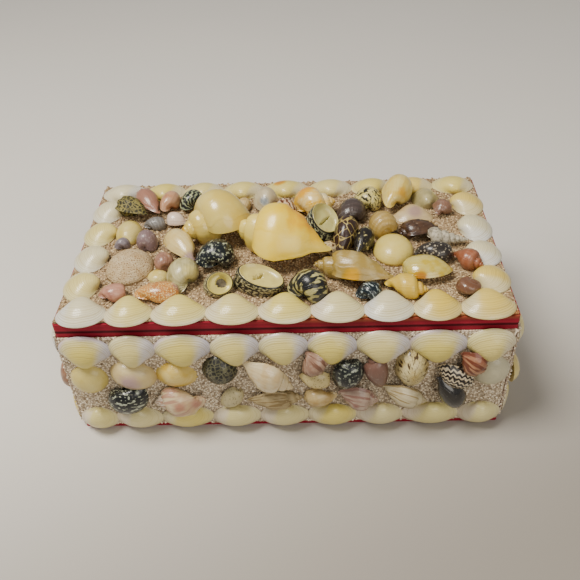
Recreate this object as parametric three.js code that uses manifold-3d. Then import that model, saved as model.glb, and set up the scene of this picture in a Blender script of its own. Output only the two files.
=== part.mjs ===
// A shell box: a hollow paper-covered box with a lift-off lid. Sea shells are set in a thin bed of
// coarse sand on the lid and on all four walls. Millimetres, +Z up, origin at the middle of the underside.
import * as THREE from "three";
import { mergeVertices } from "three/addons/utils/BufferGeometryUtils.js";
import Module from "manifold-3d";

const wasm = await Module();
wasm.setup();

// ---------------------------------------------------------------- driving dimensions
const LENGTH = 240; // along X
const DEPTH = 133; // along Y
const BASE_HEIGHT = 75.7; // open box without its lid
const LID_THICKNESS = 5;
const WALL = 4;
const CORNER_RADIUS = 1.5; // upright corners of the box and the lid
const GAP = 0.3; // clearance between any two pieces
const LID_BOTTOM = BASE_HEIGHT + GAP;
const LID_TOP = LID_BOTTOM + LID_THICKNESS;
const PANEL_DEPTH = 3; // raised panel under the lid that keeps it in place
const PANEL_CLEARANCE = 1;
const BED = 1.2; // thickness of the sand bed
const SET_DEPTH = 1; // how deep a shell that is fused with its bed sits in it
const BED_MARGIN = 1; // strip of bare paper around each bed
const SEAM_STRIP = 3; // bare paper below the mouth of the box
const FOOT_STRIP = 2; // bare paper above the foot of the box

// Clams that edge every face
const CLAM_HEIGHT = 20.5; // hinge to margin
const CLAM_BULGE = 7;
const SIDE_BULGE = 5.5; // flatter ones on the two short walls
const CLAM_TOUCH = 1.2; // how far neighbours in a row share their tips
const LID_OVERHANG = 4.3; // the front row reaches over the lid's edge

const COLOURS = {
  paper: 0x7d1620,
  sand: 0xc9b394,
  clam: 0xe3dab0,
  cream: 0xe2cf98,
  orange: 0xd9a860,
  dark: 0x35302e,
  brown: 0xa8745c,
  grey: 0x8d8680,
};

// ---------------------------------------------------------------- solids and meshes
function solidOf(geometry, matrix = new THREE.Matrix4()) {
  const bare = geometry.index ? geometry.toNonIndexed() : geometry.clone();
  bare.deleteAttribute("normal");
  bare.deleteAttribute("uv");
  bare.applyMatrix4(matrix);
  const merged = mergeVertices(bare, 1e-4);
  return new wasm.Manifold(
    new wasm.Mesh({
      numProp: 3,
      vertProperties: new Float32Array(merged.attributes.position.array),
      triVerts: new Uint32Array(merged.index.array),
    }),
  );
}

function joined(solids) {
  return solids.reduce((all, next) => all.add(next));
}

// The largest closed body of a solid, without the crumbs that a cut can leave.
function mainBody(solid) {
  return solid.decompose().reduce((a, b) => (a.volume() > b.volume() ? a : b));
}

function meshOf(name, solid, colour) {
  const { vertProperties, triVerts } = mainBody(solid).getMesh();
  const geometry = new THREE.BufferGeometry();
  geometry.setAttribute("position", new THREE.BufferAttribute(vertProperties, 3));
  geometry.setIndex(new THREE.BufferAttribute(triVerts, 1));
  geometry.computeVertexNormals();
  const paper = colour === "paper";
  const material = new THREE.MeshStandardMaterial({
    color: COLOURS[colour],
    roughness: paper || colour === "sand" ? 0.85 : 0.35,
    metalness: 0,
  });
  const mesh = new THREE.Mesh(geometry, material);
  mesh.name = name;
  return mesh;
}

// A slab with rounded upright corners, from z = low to z = high.
function slab(length, depth, low, high, radius = CORNER_RADIUS) {
  const [x, y] = [length / 2 - radius, depth / 2 - radius];
  const outline = new THREE.Shape();
  outline.absarc(x, y, radius, 0, Math.PI / 2);
  outline.absarc(-x, y, radius, Math.PI / 2, Math.PI);
  outline.absarc(-x, -y, radius, Math.PI, 1.5 * Math.PI);
  outline.absarc(x, -y, radius, 1.5 * Math.PI, 2 * Math.PI);
  const options = { depth: high - low, bevelEnabled: false, curveSegments: 1 };
  const geometry = new THREE.ExtrudeGeometry(outline, options);
  return solidOf(geometry.translate(0, 0, low));
}

// ---------------------------------------------------------------- shell forms
// Each form is about 1 long, 1 wide and 1 high. A whorled form has its spire towards +X. A domed form
// stands on its rim with its margin towards +Y. Both look outwards along +Z.
const WHORLED = {
  conch: [
    [0.5, 0], [0.42, 0.26], [0.28, 0.46], [0.24, 0.84], [0.13, 1], [-0.08, 0.82], [-0.3, 0.4], [-0.5, 0],
  ],
  moon: [[0.5, 0], [0.44, 0.26], [0.36, 0.56], [0.2, 0.9], [-0.04, 1], [-0.3, 0.82], [-0.5, 0]],
  whelk: [[0.5, 0], [0.24, 0.54], [0.06, 1], [-0.16, 0.84], [-0.5, 0]],
  snail: [[0.5, 0], [0.34, 0.62], [0.06, 1], [-0.24, 0.88], [-0.5, 0]],
  cone: [[0.5, 0], [0.32, 0.62], [0.18, 1], [-0.16, 0.76], [-0.5, 0]],
  olive: [[0.5, 0], [0.3, 0.68], [0.04, 1], [-0.26, 0.86], [-0.5, 0]],
  cerith: [[0.5, 0], [-0.1, 0.8], [-0.34, 1], [-0.5, 0]],
};
const DOMED = {
  clam: [[1, 0], [0.68, 0.68], [0, 1]],
  dome: [[1, 0], [0.8, 0.66], [0, 1]],
  limpet: [[1, 0], [0.5, 0.64], [0, 1]],
  mouth: [[0.7, -0.5], [1, 0.3], [0.88, 0.62], [0.7, 0.36], [0, 0.32]],
  closed_mouth: [[0.7, -0.5], [1, 0.3], [0.88, 0.62], [0, 0.62]],
};
const SLANT = { conch: 0.2, moon: 0.12 }; // how far the last whorl runs forward on its mouth's side
const TAPER = { clam: 0.3, mouth: 0.12, closed_mouth: 0.12, dome: 0.08, limpet: 0.1 };
const HERO_SIDES = 10; // the two largest shells
// The plain walls get the fewest.
const SIDES = { lid: 8, front: 6, back: 5, left: 5, right: 5 };
const CLAM_SIDES = 8; // even, so that the widest points meet their neighbours'

// Turns a [height, radius] outline round the shell's own axis, which then lies along X.
function whorledForm(outline, slant, sides) {
  const points = outline.map(([along, radius]) => new THREE.Vector2(radius / 2, along));
  const form = new THREE.LatheGeometry(points.reverse(), sides).rotateZ(-Math.PI / 2);
  const place = form.attributes.position;
  for (let i = 0; i < place.count; i++) place.setX(i, place.getX(i) + slant * place.getY(i));
  return form;
}

// A [radius, height] outline turned round Z over a flat base. The plan narrows towards the hinge, and
// the summit leans that way too.
function domedForm(outline, taper, sides) {
  const points = outline.map(([radius, height]) => new THREE.Vector2(radius / 2, height));
  points.unshift(new THREE.Vector2(0, points[0].y));
  const form = new THREE.LatheGeometry(points, sides).rotateX(Math.PI / 2).rotateZ(Math.PI / 2);
  const place = form.attributes.position;
  for (let i = 0; i < place.count; i++) {
    place.setX(i, place.getX(i) * (1 + taper * 2 * place.getY(i)));
    place.setY(i, place.getY(i) - taper * 0.5 * Math.max(0, place.getZ(i)));
  }
  return form;
}

function formOf(kind, sides) {
  if (kind in DOMED) return domedForm(DOMED[kind], TAPER[kind], kind === "clam" ? CLAM_SIDES : sides);
  return whorledForm(WHORLED[kind], SLANT[kind] ?? 0, kind in SLANT ? HERO_SIDES : sides);
}

// ---------------------------------------------------------------- faces of the box
// A face is a group with its own u (right), v (up) and w (outwards) axes, and w = 0 on the paper. What
// lies on a face is modelled flat in these axes, and the group's position and rotation carry it there.
function face(u, v, origin) {
  const right = new THREE.Vector3(...u);
  const up = new THREE.Vector3(...v);
  const axes = new THREE.Matrix4().makeBasis(right, up, new THREE.Vector3().crossVectors(right, up));
  const carrier = new THREE.Group();
  carrier.quaternion.setFromRotationMatrix(axes);
  carrier.position.set(...origin);
  return carrier;
}

const FACES = {
  lid: face([1, 0, 0], [0, 1, 0], [0, 0, LID_TOP + GAP]),
  front: face([1, 0, 0], [0, 0, 1], [0, -DEPTH / 2 - GAP, 0]),
  back: face([-1, 0, 0], [0, 0, 1], [0, DEPTH / 2 + GAP, 0]),
  left: face([0, -1, 0], [0, 0, 1], [-LENGTH / 2 - GAP, 0, 0]),
  right: face([0, 1, 0], [0, 0, 1], [LENGTH / 2 + GAP, 0, 0]),
};

const FACE_SIZES = {
  lid: [LENGTH, DEPTH],
  front: [LENGTH, BASE_HEIGHT],
  back: [LENGTH, BASE_HEIGHT],
  left: [DEPTH, BASE_HEIGHT],
  right: [DEPTH, BASE_HEIGHT],
};

// A shell on a face: [kind, u, v, turn, length, width, height, rise, tilt]. turn is in degrees from u.
// rise is the height of the middle above the sand as a share of the shell's height, for a whorled shell.
// tilt lifts the spire or dips the margin. grow widens the shell on all sides, to cut clearance for it.
function shellSolid(faceName, shell, grow = 0, sink = 0) {
  const [kind, u, v, turn, length, width, height, rise = 0.42, tilt = 0] = shell;
  const domed = kind in DOMED;
  const foot = BED + GAP - sink - (domed ? grow : 0);
  const lean = THREE.MathUtils.degToRad(-tilt);
  const leaning = new THREE.Matrix4();
  if (domed) leaning.makeRotationX(lean);
  else leaning.makeRotationY(lean);
  const matrix = new THREE.Matrix4()
    .makeTranslation(u, v, foot + (domed ? 0 : rise * height))
    .multiply(new THREE.Matrix4().makeRotationZ(THREE.MathUtils.degToRad(turn)))
    .multiply(leaning)
    .multiply(new THREE.Matrix4().makeScale(length + 2 * grow, width + 2 * grow, height + 2 * grow));
  const solidKind = kind === "mouth" && grow ? "closed_mouth" : kind;
  return solidOf(formOf(solidKind, SIDES[faceName]), matrix);
}

// Everything on a face lower than w, within the face's own outline, as a block that cuts shells off flat.
function below(faceName, w) {
  const [length, height] = FACE_SIZES[faceName];
  const [middle, depth] = [faceName === "lid" ? 0 : height / 2, 20];
  const block = new THREE.BoxGeometry(length + 2 * GAP, height + 2 * GAP, depth);
  return solidOf(block.translate(0, middle, w - depth / 2));
}

// ---------------------------------------------------------------- rows of clams
// A row runs along u, or along v where its margins face left or right. The widths set how the way from
// one end to the other is shared. line is where the margins lie. Returns one shell per clam.
const MARGIN_TURNS = { up: 0, down: 180, left: 90, right: -90 };
function clamRow(row) {
  const { widths, from, to, line, margin, height = CLAM_HEIGHT, bulge = CLAM_BULGE } = row;
  const share = (to - from) / widths.reduce((sum, width) => sum + width);
  const across = line + ((margin === "up" || margin === "right" ? -1 : 1) * height) / 2;
  let at = from;
  return widths.map((width) => {
    const middle = at + (width * share) / 2;
    at += width * share;
    const place = margin === "up" || margin === "down" ? [middle, across] : [across, middle];
    return ["clam", ...place, MARGIN_TURNS[margin], width * share + CLAM_TOUCH, height, bulge];
  });
}

const LID_EDGE = DEPTH / 2;
const ROW_INSET = 1; // margin line of the back row, inside the lid's edge
const LID_SIDE = LENGTH / 2 + 0.5; // margin lines of the side rows
const LID_ROWS = {
  front: clamRow({
    widths: [25, 24, 28, 27, 27, 27, 25, 24, 27],
    from: -118, to: 118, line: -LID_EDGE - LID_OVERHANG, margin: "down",
  }),
  back: clamRow({
    widths: [26, 24, 24, 25, 27, 26, 24, 25, 24],
    from: -118, to: 118, line: LID_EDGE - ROW_INSET, margin: "up",
  }),
  left: clamRow({ widths: [27, 27, 26, 26], from: -50, to: 46, line: -LID_SIDE, margin: "left" }),
  right: clamRow({ widths: [23, 23, 27, 25], from: -50, to: 46, line: LID_SIDE, margin: "right" }),
};
const UPPER_MARGIN = BASE_HEIGHT - 1;
const LOWER_MARGIN = 1.2;
const LOWER_HEIGHT = 19;
const LONG_UPPER = [26, 23, 29, 25, 25, 25, 27, 29, 24];
const LONG_LOWER = [20, 26, 29, 27, 27, 27, 26, 31, 23];
const SHORT_ROW = [25, 28, 26, 27, 25];

// Upper and lower row of a wall; half is half of the wall's width.
function wallRows(upperWidths, lowerWidths, half, bulge) {
  const span = { from: -half + 1, to: half - 1, bulge };
  return {
    upper: clamRow({ ...span, widths: upperWidths, line: UPPER_MARGIN, margin: "up" }),
    lower: clamRow({
      ...span, widths: lowerWidths, line: LOWER_MARGIN, margin: "down", height: LOWER_HEIGHT,
    }),
  };
}

const WALL_ROWS = {
  front: wallRows(LONG_UPPER, LONG_LOWER, LENGTH / 2, CLAM_BULGE),
  back: wallRows([...LONG_UPPER].reverse(), LONG_LOWER, LENGTH / 2, CLAM_BULGE),
  left: wallRows(SHORT_ROW, SHORT_ROW, DEPTH / 2, SIDE_BULGE),
  right: wallRows(SHORT_ROW, SHORT_ROW, DEPTH / 2, SIDE_BULGE),
};

// ---------------------------------------------------------------- shells between the rows
// The topmost shells come first: each later one is cut back where an earlier one lies on it.
// name: [colour, kind, u, v, turn, length, width, height, rise, tilt]
const LID_SHELLS = {
  great_conch: ["orange", "conch", -1, -16, 161, 58, 45, 33, 0.42, 7],
  mouth_up_nerite_large: ["dark", "mouth", -13.5, -41, 180, 28, 19, 16, 0, 14],
  mouth_up_nerite_small: ["dark", "mouth", -35, -42, 190, 17, 16, 15, 0, 14],
  striped_nerite: ["dark", "snail", 12, -48, 20, 23, 21, 17],
  slit_nerite: ["dark", "mouth", 20.5, 7.5, 190, 21, 20, 28, 0, 16],
  moon_snail_cream: ["cream", "moon", -39, 7, 196, 42, 33, 31, 0.44, -4],
  spindle_whelk: ["orange", "whelk", 37, -36, 165, 44, 22, 18],
  cream_olive: ["cream", "olive", -60, -11, 125, 31, 16, 15],
  round_black_nerite: ["dark", "snail", -38, -19, 60, 23, 22, 16],
  ribbed_whorl: ["cream", "snail", -55, -37, 100, 22, 18, 15],
  marbled_cone: ["dark", "cone", 34, -7, 75, 26, 15, 17, 0.45, 10],
  black_zigzag_cone: ["dark", "cone", 44, -12, 70, 22, 12, 14],
  dark_ribbed_snail: ["brown", "snail", 39, 20, 80, 21, 18, 14],
  cream_dome: ["cream", "dome", 61, -13, 0, 23, 26, 9],
  corded_snail: ["cream", "snail", 57, 7, -70, 20, 17, 15],
  amber_bubble: ["orange", "olive", 77, -34, 190, 27, 19, 12],
  yellow_babylon: ["orange", "whelk", 64, -48, -10, 23, 15, 12],
  small_black_nerite: ["dark", "snail", 44, -50, 30, 16, 13, 10],
  dotted_nerite: ["dark", "snail", 82, -20.5, 10, 21, 15, 12],
  grey_cerith: ["grey", "cerith", 92, -6, -10, 24, 13, 10],
  orange_whelk: ["brown", "whelk", 100, -26, -40, 20, 14, 11],
  brown_moon_snail: ["brown", "snail", 96, -49, 0, 13, 12, 9],
  knobby_drupe: ["dark", "whelk", 77, 2, 200, 25, 15, 11],
  rose_valve: ["brown", "dome", 76, 21, 180, 25, 17, 6],
  rose_nassa: ["brown", "whelk", 94, 25, 60, 15, 13, 10],
  green_clam: ["clam", "dome", 86, 40, 0, 17, 22, 8],
  tall_egg_shell: ["orange", "olive", 69, 37, 70, 30, 19, 18],
  capped_nerite: ["dark", "snail", 50, 35, 100, 19, 18, 14],
  orange_moon_snail: ["orange", "snail", 17, 28, 10, 26, 24, 19],
  zigzag_nerite_small: ["brown", "snail", 1, 27, -60, 18, 13, 13],
  blue_grey_nerite: ["grey", "snail", -13, 34, 110, 20, 15, 15],
  back_nerite: ["dark", "snail", -59, 39, 80, 17, 15, 12],
  rust_cone: ["brown", "cone", -86, 38, 125, 32, 14, 14],
  rust_snail: ["brown", "snail", -72, 37, 80, 17, 13, 12],
  rough_drupe: ["dark", "whelk", -94, 30, 150, 25, 18, 15],
  yellow_dome: ["cream", "dome", -93, 9, 0, 16, 22, 8],
  mauve_snail: ["brown", "snail", -80, -1, -80, 15, 12, 12],
  sandy_dome: ["sand", "dome", -87, -22, 0, 27, 31, 9],
  brown_nassa: ["brown", "whelk", -67, -21, -70, 15, 12, 10],
  pink_ribbed_snail: ["brown", "snail", -91, -47, 20, 16, 12, 9],
  orange_cowrie: ["orange", "olive", -67, -48, 10, 25, 14, 10],
};
// Small ones that are set deep and fused with the bed they sit in, also behind the large shells.
const LID_SMALL = [
  ["snail", -95, -2, 60, 9, 8, 7],
  ["dome", -70, -30, 0, 12, 11, 4],
  ["snail", 24, -12, 40, 13, 10, 8],
  ["snail", -66, 20, 180, 13, 11, 9],
  ["snail", -79, 17, 20, 13, 10, 8],
  ["snail", -10, 16, 30, 15, 13, 10],
  ["dome", 8, 13, 0, 13, 12, 6],
  ["olive", -27, 33, 80, 16, 9, 8],
  ["snail", -43, 33, 140, 15, 12, 9],
];
const FRONT_SHELLS = [
  ["dome", -108, 43, 0, 21, 21, 7],
  ["dome", -83, 47, 0, 24, 23, 9],
  ["snail", -88, 31, 250, 23, 22, 12],
  ["clam", -60, 45, 180, 24, 21, 8],
  ["whelk", -60, 27, 190, 29, 22, 12],
  ["limpet", -36, 48, 180, 20, 22, 8],
  ["snail", -31, 27, 70, 17, 12, 7],
  ["whelk", -10, 46, -35, 34, 19, 13],
  ["whelk", -7, 27, 5, 31, 14, 10],
  ["snail", 15, 55, -60, 19, 16, 11],
  ["snail", 15, 42, 0, 17, 13, 8],
  ["whelk", 18, 28, 200, 19, 13, 9],
  ["snail", 33, 46, 90, 21, 17, 11],
  ["whelk", 39, 28, -15, 24, 18, 11],
  ["olive", 49, 46, 110, 24, 13, 9],
  ["limpet", 67, 48, 0, 19, 27, 11],
  ["whelk", 64, 30, -25, 29, 15, 12],
  ["snail", 90, 43, -25, 23, 15, 9],
  ["olive", 88, 32, -50, 26, 14, 11],
  ["whelk", 99, 53, -40, 21, 16, 10],
  ["dome", 110, 44, 0, 20, 22, 6],
];

// The plainer walls: kinds take turns along a wavy line half-way up.
const END_ROOM = 13.5; // from a wall's end to the middle of its last shell
const MIXED = ["snail", "whelk", "dome", "olive", "limpet", "cerith"];
function mixedShells(count, half) {
  const pitch = (2 * (half - END_ROOM)) / (count - 1);
  return Array.from({ length: count }, (_, i) => {
    const kind = MIXED[i % MIXED.length];
    const side = i % 2 ? 1 : -1;
    const size = 24 + 3 * Math.sin(2.4 * i + half);
    const turn = 90 + 75 * side + 17 * i;
    return [kind, -half + END_ROOM + i * pitch, 38 + 7 * side, turn, size, 0.72 * size, 0.46 * size];
  });
}

const WALL_SHELLS = {
  front: FRONT_SHELLS,
  back: mixedShells(15, LENGTH / 2),
  left: mixedShells(7, DEPTH / 2),
  right: mixedShells(7, DEPTH / 2),
};

// ---------------------------------------------------------------- box and lid
function boxBody() {
  const outside = slab(LENGTH, DEPTH, 0, BASE_HEIGHT);
  return outside.subtract(slab(LENGTH - 2 * WALL, DEPTH - 2 * WALL, WALL, BASE_HEIGHT + 1));
}

function lidBoard() {
  const inset = 2 * (WALL + PANEL_CLEARANCE);
  const panel = slab(LENGTH - inset, DEPTH - inset, LID_BOTTOM - PANEL_DEPTH, LID_BOTTOM + 1);
  return slab(LENGTH, DEPTH, LID_BOTTOM, LID_TOP).add(panel);
}

// A flat bed of sand on a face, from v = low to v = high, with the small shells set in it.
function bedWithShells(faceName, half, low, high, shells) {
  const plan = new THREE.BoxGeometry(2 * (half - BED_MARGIN), high - low, BED);
  const bed = solidOf(plan.translate(0, (low + high) / 2, BED / 2));
  const set = joined(shells.map((shell) => shellSolid(faceName, shell, 0, SET_DEPTH)));
  return bed.add(set.subtract(below(faceName, BED / 2)));
}

function grownAll(faceName, shells, sink) {
  return joined(shells.map((shell) => shellSolid(faceName, shell, GAP, sink)));
}

// ---------------------------------------------------------------- assembly
const group = new THREE.Group();
group.add(meshOf("box_body", boxBody(), "paper"));
group.add(meshOf("lid_board", lidBoard(), "paper"));
group.add(...Object.values(FACES));

function addLidShells() {
  const { lid } = FACES;
  const cut = below("lid", BED + GAP);
  let over = grownAll("lid", LID_SMALL, SET_DEPTH);
  for (const [name, [colour, ...shell]] of Object.entries(LID_SHELLS)) {
    const whole = shellSolid("lid", shell).subtract(cut);
    lid.add(meshOf(name, whole.subtract(over), colour));
    over = over.add(shellSolid("lid", shell, GAP));
  }
  for (const [side, row] of Object.entries(LID_ROWS)) {
    const clams = joined(row.map((shell) => shellSolid("lid", shell))).subtract(cut);
    lid.add(meshOf(`lid_${side}_clams`, clams.subtract(over), "clam"));
    over = over.add(grownAll("lid", row));
  }
  const bed = bedWithShells("lid", LENGTH / 2, BED_MARGIN - DEPTH / 2, DEPTH / 2 - BED_MARGIN, LID_SMALL);
  lid.add(meshOf("lid_sand_bed", bed, "sand"));
}

function addWallShells(side) {
  const half = side === "front" || side === "back" ? LENGTH / 2 : DEPTH / 2;
  const shells = WALL_SHELLS[side];
  const bed = bedWithShells(side, half, FOOT_STRIP, BASE_HEIGHT - SEAM_STRIP, shells);
  FACES[side].add(meshOf(`${side}_sand_bed`, bed, "sand"));
  const cut = grownAll(side, shells, SET_DEPTH);
  for (const [level, row] of Object.entries(WALL_ROWS[side])) {
    const clams = joined(row.map((shell) => shellSolid(side, shell)));
    FACES[side].add(meshOf(`${side}_${level}_clams`, clams.subtract(cut), "clam"));
  }
}

addLidShells();
Object.keys(WALL_ROWS).forEach(addWallShells);

export default group;
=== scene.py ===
# %% [markdown]
# # A shell box
# The real thing is a board box covered in crimson paper. Coarse sand is glued to its lid and walls, sea
# shells are pressed into the sand, and rows of clams edge every face. The measured solids come in as a
# frame. Each is kept and given a finish, or a finer piece is fitted to the room that it holds.

# %% The frame
import math

import bpy
import numpy as np
from mathutils import Matrix, Vector


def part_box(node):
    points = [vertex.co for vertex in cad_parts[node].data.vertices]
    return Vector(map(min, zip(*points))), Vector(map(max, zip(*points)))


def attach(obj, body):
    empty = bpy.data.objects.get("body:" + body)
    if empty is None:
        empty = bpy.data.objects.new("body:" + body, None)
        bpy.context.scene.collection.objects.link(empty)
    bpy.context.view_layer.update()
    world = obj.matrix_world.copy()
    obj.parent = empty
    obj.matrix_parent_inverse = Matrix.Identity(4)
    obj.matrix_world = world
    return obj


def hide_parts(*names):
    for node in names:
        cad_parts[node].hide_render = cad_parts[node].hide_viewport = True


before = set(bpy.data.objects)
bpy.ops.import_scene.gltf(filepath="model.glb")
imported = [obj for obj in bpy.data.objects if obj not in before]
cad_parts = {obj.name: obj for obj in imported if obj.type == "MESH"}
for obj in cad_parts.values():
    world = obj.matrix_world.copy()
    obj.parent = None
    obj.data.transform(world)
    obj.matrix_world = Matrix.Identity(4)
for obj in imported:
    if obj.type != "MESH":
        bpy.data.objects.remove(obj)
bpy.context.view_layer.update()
MM = 0.001
print(len(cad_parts), "solids in the frame")

# %% [markdown]
# Everything is modelled as by hand: something is added, edited and finished with modifiers. Blender's
# operators act on whatever is selected, so each new piece starts with nothing else selected, and the
# points that an edit needs are picked by where they are.

# %% Hand tools
def fresh(name, add, **options):
    """Adds a primitive with nothing else selected, and names it."""
    bpy.ops.object.select_all(action="DESELECT")
    add(**options)
    bpy.context.object.name = bpy.context.object.data.name = name
    return bpy.context.object


def only(obj):
    """Makes it the one thing that is selected."""
    bpy.ops.object.select_all(action="DESELECT")
    bpy.context.view_layer.objects.active = obj
    obj.select_set(True)


def editing(obj):
    only(obj)
    bpy.ops.object.mode_set(mode="EDIT")
    bpy.ops.mesh.select_mode(type="VERT")


def pick(test):
    """Selects the points that pass the test, and nothing else. It starts and ends in edit mode."""
    bpy.ops.mesh.select_all(action="DESELECT")
    bpy.ops.object.mode_set(mode="OBJECT")
    for point in bpy.context.object.data.vertices:
        point.select = bool(test(point.co))
    bpy.ops.object.mode_set(mode="EDIT")


def leave():
    bpy.ops.object.mode_set(mode="OBJECT")


def open_edges():
    """Selects the open edges of the mesh that is being edited."""
    bpy.ops.mesh.select_all(action="DESELECT")
    bpy.ops.mesh.select_non_manifold()


def face_outwards():
    """Turns every face outwards, and leaves edit mode."""
    bpy.ops.mesh.select_all(action="SELECT")
    bpy.ops.mesh.normals_make_consistent(inside=False)
    leave()


def apply_modifiers(obj):
    bpy.context.view_layer.objects.active = obj
    for modifier in list(obj.modifiers):
        bpy.ops.object.modifier_apply(modifier=modifier.name)


def points(obj):
    """The mesh's points as rows of x, y, z."""
    rows = np.empty(len(obj.data.vertices) * 3)
    obj.data.vertices.foreach_get("co", rows)
    return rows.reshape(-1, 3)


def smooth(obj):
    """Smooth shading wherever faces meet at less than 60 degrees."""
    only(obj)
    bpy.ops.object.shade_smooth_by_angle(angle=math.radians(60))


print("tools ready")

# %% [markdown]
# ## Camera, floor and light
# The box stands on a pale table in soft light that comes from above and a little from the left. The
# camera looks down on it at 40 degrees, from slightly right of the middle.

# %% Camera
def look(place, down, left, roll, lens):
    data = bpy.data.cameras.new("camera")
    data.lens = lens
    camera = bpy.data.objects.new("camera", data)
    bpy.context.collection.objects.link(camera)
    turn = Matrix.Rotation(math.radians(left), 4, "Z") @ Matrix.Rotation(math.radians(90 - down), 4, "X")
    camera.matrix_world = Matrix.Translation(place) @ turn @ Matrix.Rotation(math.radians(roll), 4, "Z")
    bpy.context.scene.camera = camera


look((0.0147, -0.3279, 0.3209), down=39.98, left=2.36, roll=-2.76, lens=43.2)
print("camera placed")

# %% Floor and light
def lamp(name, place, size, power, colour):
    """A round area lamp that looks at the middle of the box's foot."""
    data = bpy.data.lights.new(name, "AREA")
    data.shape, data.size, data.energy, data.color = "DISK", size, power, colour
    light = bpy.data.objects.new(name, data)
    bpy.context.collection.objects.link(light)
    light.location = place
    light.rotation_euler = Vector(place).to_track_quat("Z", "Y").to_euler()


floor = fresh("floor", bpy.ops.mesh.primitive_plane_add, size=60)
lamp("key_light", (-0.45, -0.15, 1.1), 0.5, 19, (1, 0.95, 0.87))
lamp("fill_light", (0.7, -1.1, 0.7), 1.0, 8, (1, 0.94, 0.84))
world = bpy.data.worlds.new("soft_room")
world.use_nodes = True
room = world.node_tree.nodes["Background"].inputs
room["Color"].default_value = (0.9, 0.88, 0.86, 1)
room["Strength"].default_value = 0.36
bpy.context.scene.world = world
print("two lamps, a floor and a pale room")

# %% [markdown]
# ## Finishes
# A finish is a few nodes around one Principled shader. What several finishes share, such as growth
# lines, zigzags and mottling, is a node group with named inputs and outputs.

# %% Node helpers
def tone(code):
    """A colour written as on the web, as Blender's linear numbers."""
    parts = [int(code[i : i + 2], 16) / 255 for i in (0, 2, 4)]
    return (*[p / 12.92 if p < 0.04 else ((p + 0.055) / 1.055) ** 2.4 for p in parts], 1)


def add(tree, kind, values=(), **settings):
    """A node. values gives its inputs numbers, colours or the outputs of other nodes."""
    new = tree.nodes.new("ShaderNode" + kind)
    for key, value in settings.items():
        setattr(new, key, value)
    for key, value in dict(values).items():
        if isinstance(value, bpy.types.NodeSocket):
            tree.links.new(value, new.inputs[key])
        else:
            new.inputs[key].default_value = value
    return new


def calc(tree, operation, *terms):
    return add(tree, "Math", dict(enumerate(terms)), operation=operation).outputs[0]


def blend(tree, mask, first, second, share=1):
    """first where mask is 0, and second, or a share of it, where mask is 1. Either may be a colour code."""
    if share != 1:
        mask = calc(tree, "MULTIPLY", mask, share)
    first, second = (tone(c) if isinstance(c, str) else c for c in (first, second))
    values = {"Factor": mask, 6: first, 7: second}
    return add(tree, "Mix", values, data_type="RGBA").outputs[2]


def ramp(tree, value, low, high, to_low=0.0, to_high=1.0):
    values = {0: value, 1: low, 2: high, 3: to_low, 4: to_high}
    return add(tree, "MapRange", values, interpolation_type="SMOOTHSTEP").outputs[0]


def noise(tree, vector, scale, detail=3.0):
    return add(tree, "TexNoise", {"Vector": vector, "Scale": scale, "Detail": detail}).outputs["Fac"]


def group(name, inputs, outputs):
    """An empty node group. inputs maps a name to its socket type and start value."""
    tree = bpy.data.node_groups.new(name, "ShaderNodeTree")
    for key, (kind, value) in inputs.items():
        socket = tree.interface.new_socket(key, in_out="INPUT", socket_type="NodeSocket" + kind)
        if value is not None:
            socket.default_value = value
    for key, kind in outputs.items():
        tree.interface.new_socket(key, in_out="OUTPUT", socket_type="NodeSocket" + kind)
    return tree, tree.nodes.new("NodeGroupInput").outputs, tree.nodes.new("NodeGroupOutput").inputs


def use(tree, name, values):
    return add(tree, "Group", values, node_tree=bpy.data.node_groups[name]).outputs


def mottle(tree, place, scale, low=0.4, high=0.6):
    """The mask of a mottling group."""
    return use(tree, "mottling", {"Place": place, "Scale": scale, "Low": low, "High": high})["Mask"]


def axes(tree, vector):
    """The X, Y and Z of a vector."""
    return add(tree, "SeparateXYZ", {0: vector}).outputs


def growth_map(tree):
    """How long the shell had grown at a place, and how far round its mouth the place is."""
    return axes(tree, add(tree, "UVMap", (), uv_map="grown").outputs[0])[:2]


def rich(tree, colour, saturation=1.25):
    """The colour as it has to be for the pale room's reflections on it not to wash it out."""
    values = {"Color": colour, "Saturation": saturation, "Value": 0.93}
    return add(tree, "HueSaturation", values).outputs[0]


def finish(name, roughness=0.5, coat=0.0):
    """A new material: its tree, its Principled shader and the place on the piece."""
    material = bpy.data.materials.new(name)
    material.use_nodes = True
    tree = material.node_tree
    shader = tree.nodes["Principled BSDF"]
    shader.inputs["Roughness"].default_value = roughness
    shader.inputs["Coat Weight"].default_value = coat
    shader.inputs["Coat Roughness"].default_value = 0.12
    return material, tree, shader, add(tree, "TexCoord").outputs["Object"]


def paint(tree, shader, colour):
    """Leads a colour to the shader."""
    tree.links.new(colour, shader.inputs["Base Color"])


def bump(tree, shader, height, strength, distance):
    values = {"Height": height, "Strength": strength, "Distance": distance}
    tree.links.new(add(tree, "Bump", values).outputs[0], shader.inputs["Normal"])


print("node helpers ready")

# %% [markdown]
# Shells grow at their edge, a little every season, and each stop leaves a fine line. The group draws
# these lines across the growth direction, unevenly spaced, and also gives a slow drift of colour.

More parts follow.
